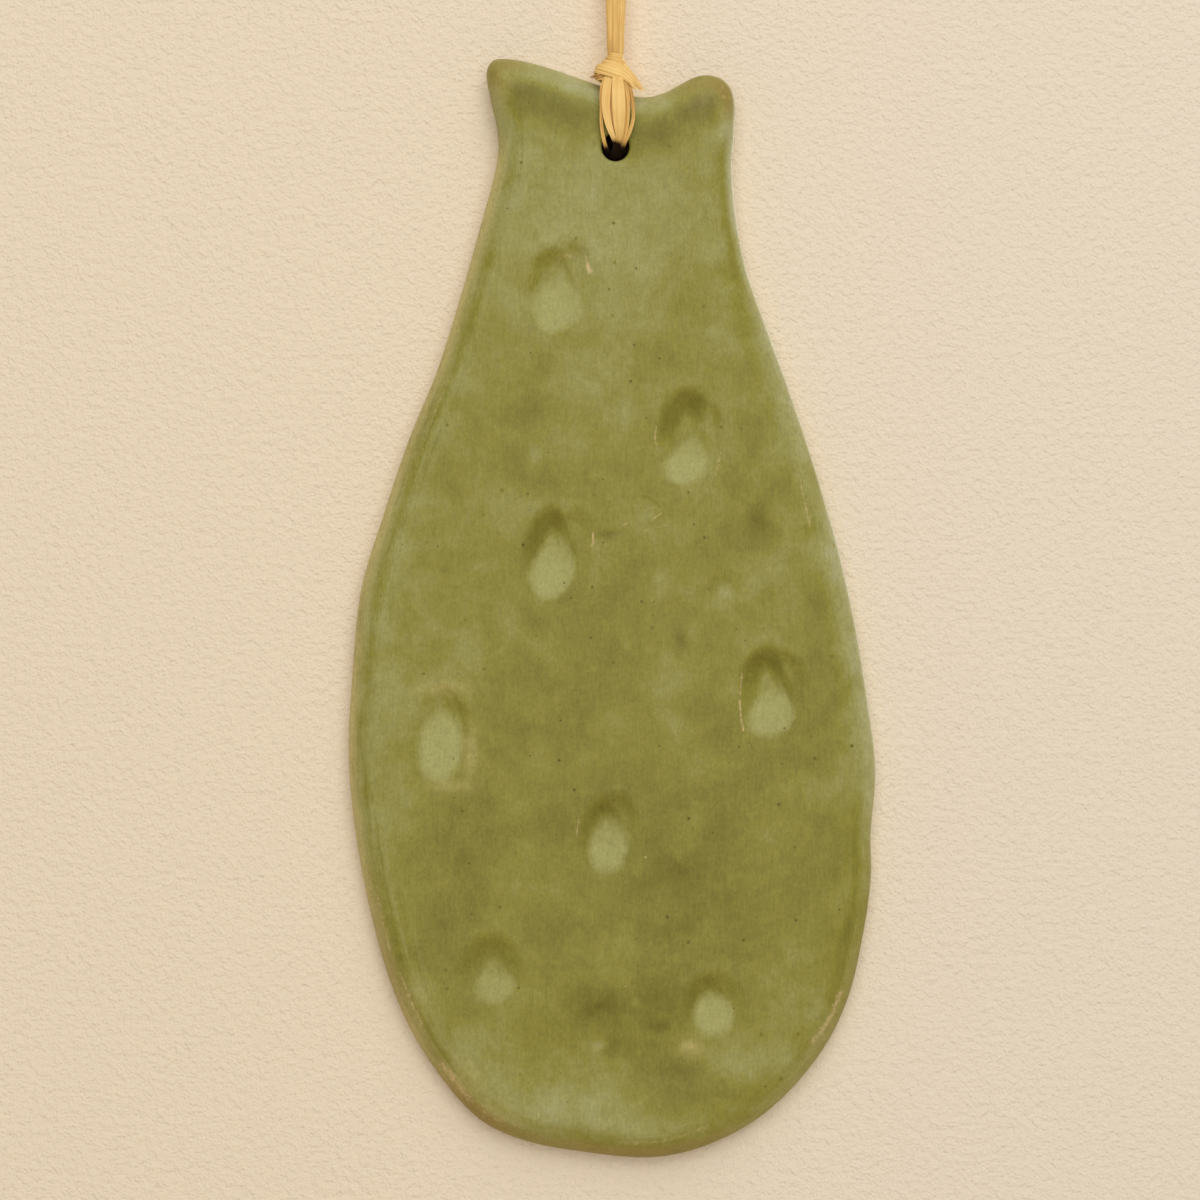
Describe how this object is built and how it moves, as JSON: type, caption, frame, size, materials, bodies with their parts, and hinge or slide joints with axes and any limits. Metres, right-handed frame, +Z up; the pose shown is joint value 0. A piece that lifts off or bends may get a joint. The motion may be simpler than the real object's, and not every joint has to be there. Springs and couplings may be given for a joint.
{
  "type": "ceramic wall hanging",
  "caption": "Hand-pressed glazed clay wall hanging in the shape of a prickly pear pad, with fingertip dimples, hung on a knotted raffia loop",
  "frame": {"origin": "the hanging point, where a nail bears in the inside top of the raffia loop", "axes": "+Z up, along the length; +Y towards the wall, out of the flat back; +X to the right of someone who looks at the glazed face"},
  "size_m": [0.096, 0.0096, 0.2348],
  "materials": {
    "glazed_clay": "satin sage-green glaze, brushed on, worn thin to tan clay on the rims and nicks, with fine dark specks",
    "raffia": "natural straw-coloured raffia, dry and fibrous, lightly pleated"
  },
  "bodies": {
    "root": {"pad": "glazed_clay", "raffia_sling": "raffia", "raffia_knot": "raffia", "raffia_hanger": "raffia"}
  },
  "joints": []
}
